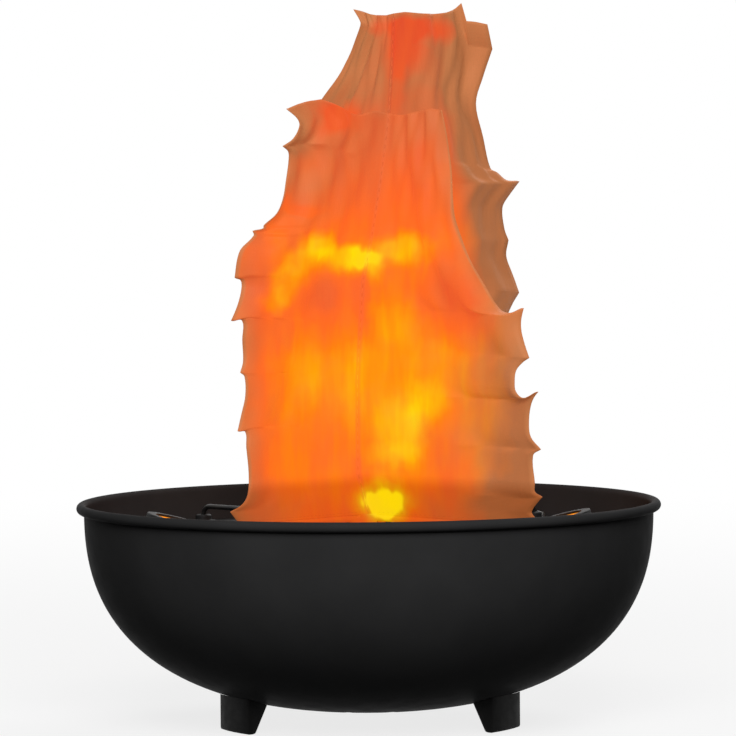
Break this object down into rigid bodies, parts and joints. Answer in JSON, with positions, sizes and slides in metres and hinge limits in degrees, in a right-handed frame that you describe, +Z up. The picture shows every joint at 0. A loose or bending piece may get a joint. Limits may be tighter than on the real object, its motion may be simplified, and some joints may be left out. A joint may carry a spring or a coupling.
{
  "type": "flame effect light",
  "caption": "Free-standing flame effect light: a round bowl on short feet with a fan and lamps under a jagged silk flame.",
  "frame": {"origin": "on the floor under the centre of the bowl, at the bottom centre of the part's box", "axes": "+Z up along the bowl's axis, which the fan shares; -Y is the front seen in the picture, +X its right; the switch and the socket are at the back, +Y"},
  "size_m": [0.28, 0.28, 0.3433],
  "materials": {
    "black_paint": "satin",
    "black_plastic": "moulded",
    "rocker_black": "gloss",
    "zinc": "zinc plated",
    "wire_steel": "drawn wire",
    "aluminium": "machined",
    "brass": "sintered bronze",
    "copper": "enamelled copper windings",
    "ferrite": "ferrite-filled plastic",
    "board_green": "solder mask",
    "amber_lens": "transparent amber",
    "silk": "thin silk, translucent",
    "insulation": "soft insulation"
  },
  "bodies": {
    "light": {"bowl": "black_paint", "deck_plate": "black_paint", "foot_left": "black_plastic", "foot_screw_left": "zinc", "foot_right": "black_plastic", "foot_screw_right": "zinc", "foot_rear": "black_plastic", "foot_screw_rear": "zinc", "deck_bracket_1": "zinc", "deck_screw_1": "zinc", "deck_bracket_2": "zinc", "deck_screw_2": "zinc", "deck_bracket_3": "zinc", "deck_screw_3": "zinc", "fan_frame": "black_plastic", "fan_bearing": "brass", "fan_board": "board_green", "fan_stator": "copper", "fan_guard": "wire_steel", "fan_screw_1": "zinc", "lamp_collar_1": "black_plastic", "lamp_heat_sink_1": "aluminium", "lamp_board_1": "board_green", "lamp_lens_1": "amber_lens", "rod_socket_1": "black_plastic", "fan_screw_2": "zinc", "lamp_collar_2": "black_plastic", "lamp_heat_sink_2": "aluminium", "lamp_board_2": "board_green", "lamp_lens_2": "amber_lens", "rod_socket_2": "black_plastic", "fan_screw_3": "zinc", "lamp_collar_3": "black_plastic", "lamp_heat_sink_3": "aluminium", "lamp_board_3": "board_green", "lamp_lens_3": "amber_lens", "rod_socket_3": "black_plastic", "fan_screw_4": "zinc", "lamp_collar_4": "black_plastic", "lamp_heat_sink_4": "aluminium", "lamp_board_4": "board_green", "lamp_lens_4": "amber_lens", "rod_socket_4": "black_plastic", "silk_rod_upper": "wire_steel", "silk_rod_lower": "wire_steel", "silk_front": "silk", "silk_back": "silk", "switch_housing": "black_plastic", "supply_socket": "black_plastic", "supply_nut": "zinc", "lamp_driver": "black_plastic", "supply_lead": "insulation", "switch_lead": "insulation", "fan_lead": "insulation", "lamp_harness": "insulation"},
    "impeller": {"fan_rotor": "black_plastic", "fan_shaft": "zinc", "fan_magnet": "ferrite"},
    "rocker": {"switch_rocker": "rocker_black"}
  },
  "joints": [
    {"name": "fan_spin", "type": "hinge", "parent": "light", "child": "impeller", "pos_m": [0, 0, 0.075], "axis": [0, 0, 1], "continuous": true},
    {"name": "switch_rock", "type": "hinge", "parent": "light", "child": "rocker", "pos_m": [0.03931, 0.12858, 0.07367], "axis": [-0.9563, 0.2924, 0], "range_deg": [0, 16]}
  ]
}
